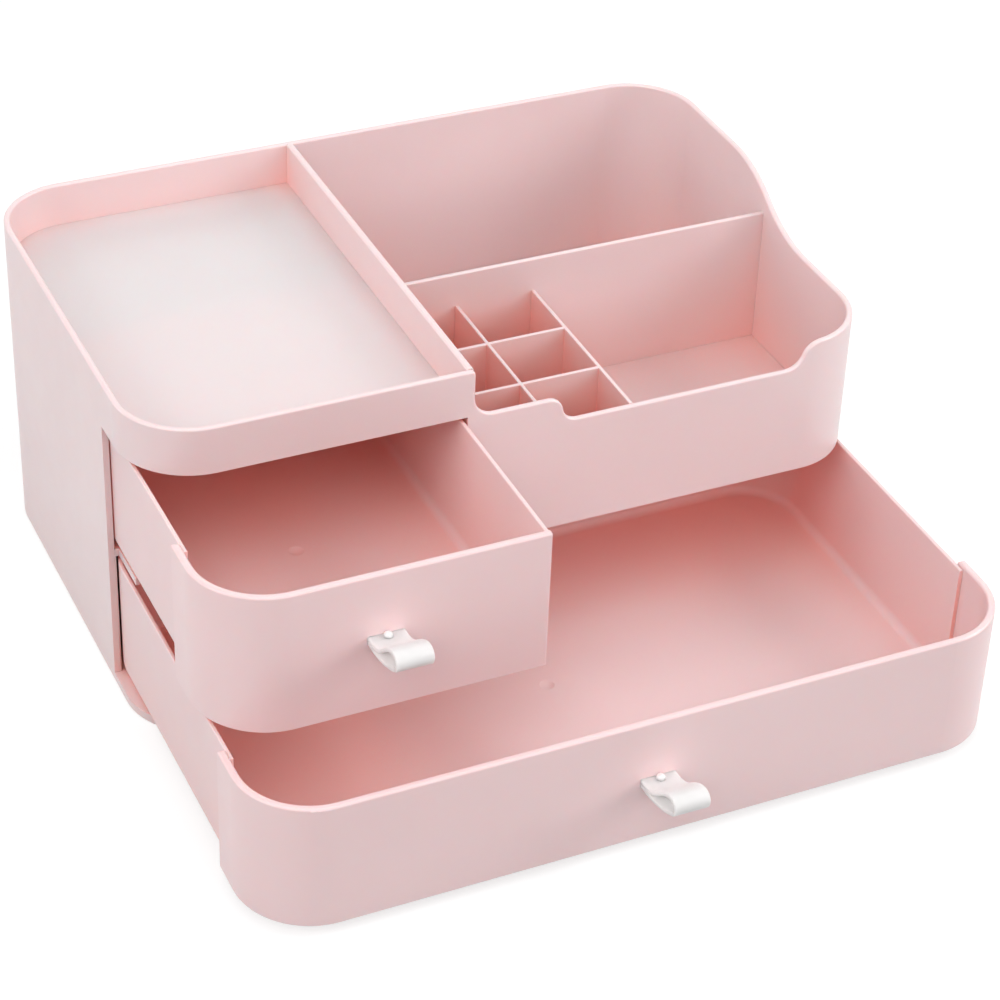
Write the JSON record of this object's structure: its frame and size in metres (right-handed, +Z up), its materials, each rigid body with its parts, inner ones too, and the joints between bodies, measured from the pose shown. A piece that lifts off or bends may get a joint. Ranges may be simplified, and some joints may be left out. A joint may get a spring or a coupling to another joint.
{
  "type": "makeup drawer organizer",
  "caption": "Desktop makeup organizer with a shallow top tray, stepped open compartments with lipstick cells, and stacked sliding drawers with loop pulls.",
  "frame": {"origin": "middle of the base plate's underside, on the surface that the organizer stands on", "axes": "+Z up, +X to the right seen from the front, +Y to the back; the drawers open toward -Y"},
  "size_m": [0.3, 0.3329, 0.137],
  "materials": {
    "pink_plastic": "satin",
    "white_plastic": "semi-gloss"
  },
  "bodies": {
    "case": {"outer_shell": "pink_plastic", "base_plate": "pink_plastic", "mid_shelf": "pink_plastic", "partition_wall": "pink_plastic", "tray_floor": "pink_plastic", "rear_divider": "pink_plastic", "cell_insert": "pink_plastic"},
    "upper_drawer": {"upper_drawer_tray": "pink_plastic", "upper_drawer_front": "pink_plastic", "upper_pull": "white_plastic", "upper_pull_rivet": "white_plastic", "upper_pull_retainer": "white_plastic"},
    "lower_drawer": {"lower_drawer_tray": "pink_plastic", "lower_drawer_front": "pink_plastic", "lower_pull": "white_plastic", "lower_pull_rivet": "white_plastic", "lower_pull_retainer": "white_plastic"}
  },
  "joints": [
    {"name": "upper_drawer_slide", "type": "slide", "parent": "case", "child": "upper_drawer", "axis": [0, -1, 0], "range_m": [-0.076, 0.044]},
    {"name": "lower_drawer_slide", "type": "slide", "parent": "case", "child": "lower_drawer", "axis": [0, -1, 0], "range_m": [-0.1185, 0.0115]}
  ]
}
